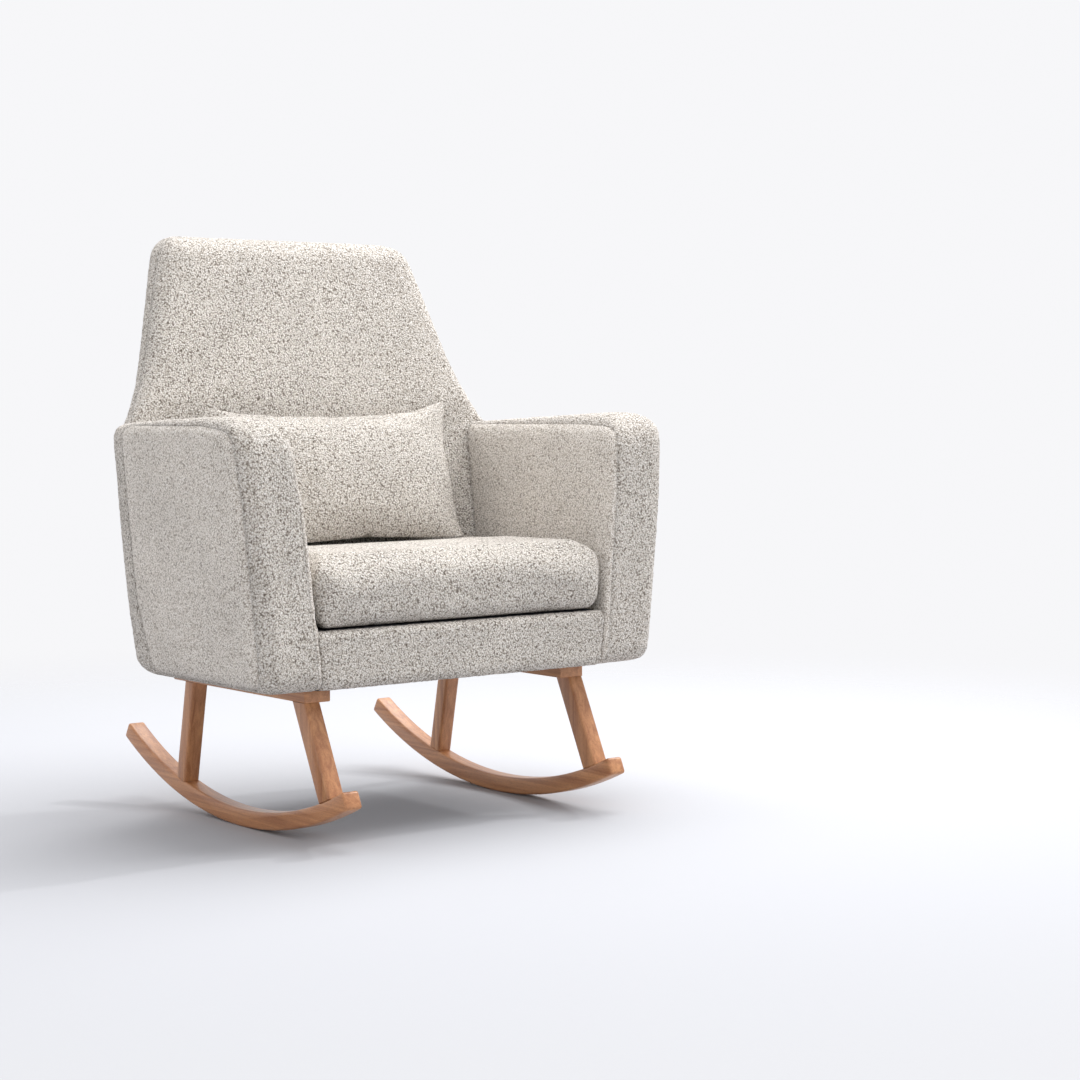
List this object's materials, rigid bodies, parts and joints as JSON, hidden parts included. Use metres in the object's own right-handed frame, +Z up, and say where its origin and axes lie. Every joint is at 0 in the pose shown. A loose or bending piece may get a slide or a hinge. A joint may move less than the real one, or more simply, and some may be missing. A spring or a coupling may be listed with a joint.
{
  "type": "rocking chair",
  "caption": "Upholstered nursery rocking chair with a tall reclined back, padded arms, a loose seat cushion and a lumbar pillow, on curved wooden runners.",
  "frame": {"origin": "middle of the chair's bounding box at floor level, between the two runners", "axes": "+Z up, the chair faces -Y, +X to the right as seen from the front; the chair is symmetric about X = 0 apart from its zip sliders"},
  "size_m": [0.8206, 0.688, 0.937],
  "materials": {
    "lacquered_beech": "satin",
    "frame_timber": "matte",
    "boucle_fabric": "matte",
    "cushion_foam": "matte",
    "black_cloth": "matte",
    "elastic_webbing": "matte",
    "zinc_plated_steel": "satin",
    "zip_tape": "matte",
    "zip_metal": "satin"
  },
  "bodies": {
    "chair": {"left_rocker": "lacquered_beech", "right_rocker": "lacquered_beech", "left_front_leg": "lacquered_beech", "right_front_leg": "lacquered_beech", "left_rear_leg": "lacquered_beech", "right_rear_leg": "lacquered_beech", "left_mounting_rail": "lacquered_beech", "right_mounting_rail": "lacquered_beech", "mounting_bolts": "zinc_plated_steel", "mounting_washers": "zinc_plated_steel", "tee_nuts": "zinc_plated_steel", "left_seat_rail": "frame_timber", "right_seat_rail": "frame_timber", "front_seat_rail": "frame_timber", "rear_seat_rail": "frame_timber", "webbing_rail": "frame_timber", "corner_blocks": "frame_timber", "left_back_stile": "frame_timber", "right_back_stile": "frame_timber", "back_top_rail": "frame_timber", "lumbar_rail": "frame_timber", "left_arm_frame": "frame_timber", "right_arm_frame": "frame_timber", "seat_webbing": "elastic_webbing", "back_webbing": "elastic_webbing", "deck_pad": "cushion_foam", "deck_cloth": "black_cloth", "dust_cover": "black_cloth", "dust_cover_staples": "zinc_plated_steel", "left_arm_foam": "cushion_foam", "right_arm_foam": "cushion_foam", "back_foam": "cushion_foam", "front_border_foam": "cushion_foam", "left_arm_outer_cover": "boucle_fabric", "right_arm_outer_cover": "boucle_fabric", "left_arm_band": "boucle_fabric", "right_arm_band": "boucle_fabric", "left_arm_inner_cover": "boucle_fabric", "right_arm_inner_cover": "boucle_fabric", "inner_back_cover": "boucle_fabric", "outer_back_cover": "boucle_fabric", "front_border_cover": "boucle_fabric"},
    "seat_cushion": {"seat_cushion_foam": "cushion_foam", "seat_cushion_cover": "boucle_fabric", "seat_cushion_zip": "zip_tape"},
    "seat_zip_slider": {"seat_zip_slider": "zip_metal"},
    "lumbar_pillow": {"pillow_filling": "cushion_foam", "pillow_cover": "boucle_fabric", "pillow_zip": "zip_tape"},
    "pillow_zip_slider": {"pillow_zip_slider": "zip_metal"}
  },
  "joints": [
    {"name": "seat_cushion_lift", "type": "slide", "parent": "chair", "child": "seat_cushion", "axis": [0, 0, 1], "range_m": [0, 0.25]},
    {"name": "seat_zip_run", "type": "slide", "parent": "seat_cushion", "child": "seat_zip_slider", "axis": [1, 0, 0], "range_m": [0, 0.39]},
    {"name": "lumbar_pillow_lift", "type": "slide", "parent": "seat_cushion", "child": "lumbar_pillow", "axis": [0, -0.5, 0.866], "range_m": [0, 0.25]},
    {"name": "pillow_zip_run", "type": "slide", "parent": "lumbar_pillow", "child": "pillow_zip_slider", "axis": [1, 0, 0], "range_m": [0, 0.335]}
  ]
}
